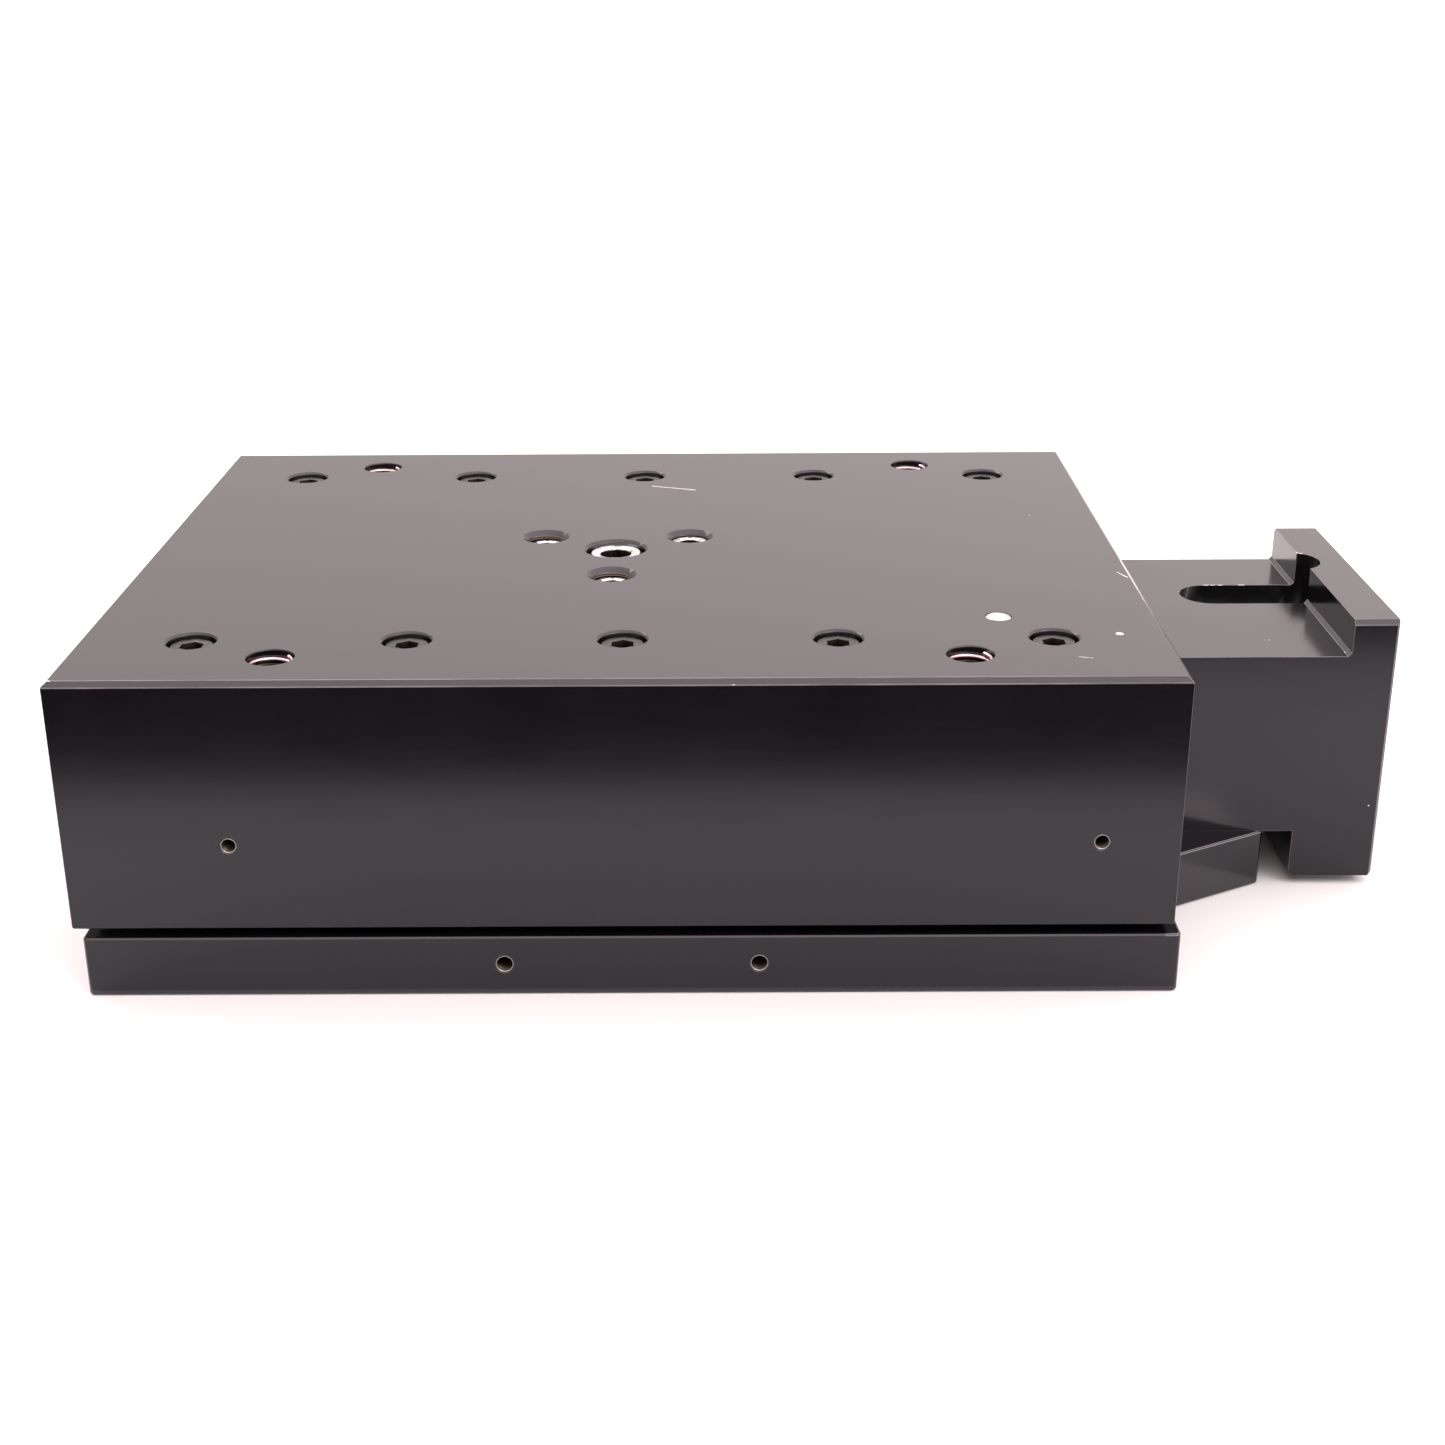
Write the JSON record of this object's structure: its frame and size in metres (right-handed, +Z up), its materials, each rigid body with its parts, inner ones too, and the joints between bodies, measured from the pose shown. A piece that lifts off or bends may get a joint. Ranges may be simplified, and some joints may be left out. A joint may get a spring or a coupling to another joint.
{
  "type": "linear positioning stage",
  "caption": "Low screw-driven slide stage: a channel-shaped carriage with a drilled top runs on crossed-roller rails over a flat base, with a motor flange at one end.",
  "frame": {"origin": "centre of the base plate's underside, which is the middle of its four bolt holes", "axes": "+X along the travel towards the motor flange, -Y the front side, +Z up through the carriage plate"},
  "size_m": [0.2534, 0.16, 0.0625],
  "materials": {
    "black_anodised": "satin black anodised",
    "machined_aluminium": "machined",
    "ground_steel": "ground",
    "black_oxide_steel": "black oxide",
    "bright_steel": "bright",
    "insert_steel": "bright wire",
    "cage_brass": "rolled",
    "rubber": "moulded"
  },
  "bodies": {
    "base": {"base_plate": "black_anodised", "rail_support_front": "black_anodised", "rail_support_rear": "black_anodised", "motor_mount": "black_anodised", "tail_bearing_block": "black_anodised", "stop_block_left": "black_anodised", "stop_block_right": "black_anodised", "inner_rail_front": "ground_steel", "inner_rail_rear": "ground_steel", "cage_stop_plates": "ground_steel", "drive_bearing_outer_rings": "ground_steel", "tail_bearing_outer_ring": "ground_steel", "drive_bearing_balls": "bright_steel", "tail_bearing_balls": "bright_steel", "bearing_retainer": "machined_aluminium", "inner_rail_screws_front": "black_oxide_steel", "inner_rail_screws_rear": "black_oxide_steel", "rail_support_screws": "black_oxide_steel", "cage_stop_screws": "black_oxide_steel", "motor_mount_screws": "black_oxide_steel", "bearing_retainer_screws": "black_oxide_steel", "tail_block_screws": "black_oxide_steel", "stop_block_screws": "black_oxide_steel", "stop_bumper_left": "rubber", "stop_bumper_right": "rubber"},
    "carriage": {"carriage": "black_anodised", "outer_rail_front": "ground_steel", "outer_rail_rear": "ground_steel", "ball_nut": "ground_steel", "outer_rail_screws_front": "black_oxide_steel", "outer_rail_screws_rear": "black_oxide_steel", "ball_nut_screws": "black_oxide_steel", "nut_bracket": "machined_aluminium", "centre_bolt": "bright_steel", "bracket_set_screws": "bright_steel", "locating_dowel": "bright_steel", "datum_pin": "bright_steel", "bracket_dowels": "bright_steel", "payload_thread_inserts": "insert_steel"},
    "cage_front": {"roller_cage_front": "cage_brass", "rollers_front": "bright_steel"},
    "cage_rear": {"roller_cage_rear": "cage_brass", "rollers_rear": "bright_steel"},
    "drive_screw": {"ball_screw": "ground_steel", "drive_bearing_inner_rings": "ground_steel", "tail_bearing_inner_ring": "ground_steel", "bearing_lock_nut": "black_oxide_steel", "tail_retaining_ring": "black_oxide_steel", "coupling_clamp_screws": "black_oxide_steel", "shaft_coupling": "machined_aluminium"}
  },
  "joints": [
    {"name": "carriage_slide", "type": "slide", "parent": "base", "child": "carriage", "axis": [1, 0, 0], "range_m": [-0.036, 0.039]},
    {"name": "cage_front_slide", "type": "slide", "parent": "base", "child": "cage_front", "axis": [1, 0, 0], "range_m": [-0.018, 0.0195]},
    {"name": "cage_rear_slide", "type": "slide", "parent": "base", "child": "cage_rear", "axis": [1, 0, 0], "range_m": [-0.018, 0.0195]},
    {"name": "screw_spin", "type": "hinge", "parent": "base", "child": "drive_screw", "pos_m": [0, -0.0025, 0.0296], "axis": [1, 0, 0], "range_deg": [-2808.5, 2592.5]}
  ],
  "couplings": [
    {"joint": "cage_front_slide", "follows": "carriage_slide", "ratio": 0.5},
    {"joint": "cage_rear_slide", "follows": "carriage_slide", "ratio": 0.5},
    {"joint": "screw_spin", "follows": "carriage_slide", "rad_per_m": -1256.6}
  ]
}
